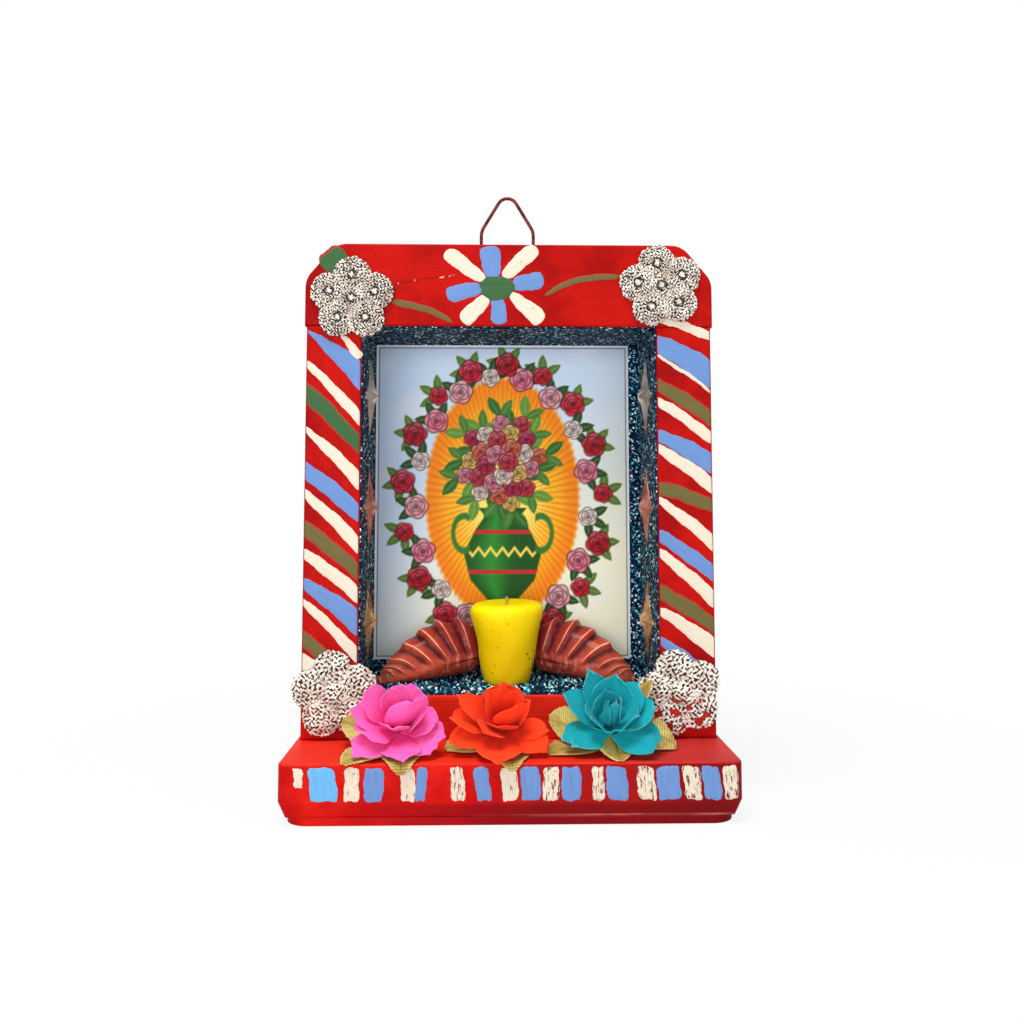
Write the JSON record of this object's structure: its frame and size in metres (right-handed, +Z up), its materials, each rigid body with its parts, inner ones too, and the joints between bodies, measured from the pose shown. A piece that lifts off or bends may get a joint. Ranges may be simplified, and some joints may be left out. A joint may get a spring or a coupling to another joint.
{
  "type": "retablo box",
  "caption": "Small painted wooden shrine box: an open niche on a shelf base, dressed with a print, candle, toy breads, cloth roses, tin stars and lace flowers, hung by a wire loop.",
  "frame": {"origin": "centre of the base shelf's underside", "axes": "+Z up, -Y towards the viewer, +Y towards the wall, +X to the viewer's right"},
  "size_m": [0.1447, 0.0757, 0.2179],
  "materials": {
    "red_paint": "gloss red paint over sanded softwood",
    "bare_wood": "bare thin plywood",
    "glitter_card": "dark blue card with loose glitter",
    "print": "satin colour print on card",
    "tin": "thin pressed tin, coppery",
    "wax": "waxy, slightly shiny",
    "wick": "waxed cotton",
    "bread": "varnished painted clay",
    "pink_cloth": "thin stiff cloth",
    "orange_cloth": "thin stiff cloth",
    "turquoise_cloth": "thin stiff cloth",
    "leaf_mesh": "gold-green woven mesh",
    "calyx": "dull green",
    "silver_lace": "metallic thread",
    "wire": "dark maroon wire",
    "nail_steel": "bright nails"
  },
  "bodies": {
    "box": {"back_panel": "bare_wood", "base_nails": "nail_steel", "base_shelf": "red_paint", "bread_left": "bread", "bread_right": "bread", "candle_wax": "wax", "candle_wick": "wick", "floor_board": "red_paint", "hanger_staples": "wire", "lace_flower_lower_left": "silver_lace", "lace_flower_lower_right": "silver_lace", "lace_flower_upper_left": "silver_lace", "lace_flower_upper_right": "silver_lace", "left_post": "red_paint", "lining_back": "glitter_card", "lining_floor": "glitter_card", "lining_left": "glitter_card", "lining_right": "glitter_card", "lining_top": "glitter_card", "panel_brads": "nail_steel", "picture_card": "print", "right_post": "red_paint", "rose_orange_bud": "orange_cloth", "rose_orange_calyx": "calyx", "rose_orange_inner_petals": "orange_cloth", "rose_orange_leaves": "leaf_mesh", "rose_orange_middle_petals": "orange_cloth", "rose_orange_outer_petals": "orange_cloth", "rose_pink_bud": "pink_cloth", "rose_pink_calyx": "calyx", "rose_pink_inner_petals": "pink_cloth", "rose_pink_leaves": "leaf_mesh", "rose_pink_middle_petals": "pink_cloth", "rose_pink_outer_petals": "pink_cloth", "rose_turquoise_bud": "turquoise_cloth", "rose_turquoise_calyx": "calyx", "rose_turquoise_inner_petals": "turquoise_cloth", "rose_turquoise_leaves": "leaf_mesh", "rose_turquoise_middle_petals": "turquoise_cloth", "rose_turquoise_outer_petals": "turquoise_cloth", "star_left_lower": "tin", "star_left_middle": "tin", "star_left_upper": "tin", "star_right_lower": "tin", "star_right_middle": "tin", "star_right_upper": "tin", "top_nails": "nail_steel", "top_rail": "red_paint"},
    "hanger": {"hanger_loop": "wire"}
  },
  "joints": [
    {"name": "hanger_turn", "type": "hinge", "parent": "box", "child": "hanger", "pos_m": [0, 0.03595, 0.171], "axis": [-1, 0, 0], "range_deg": [0, 180]}
  ]
}
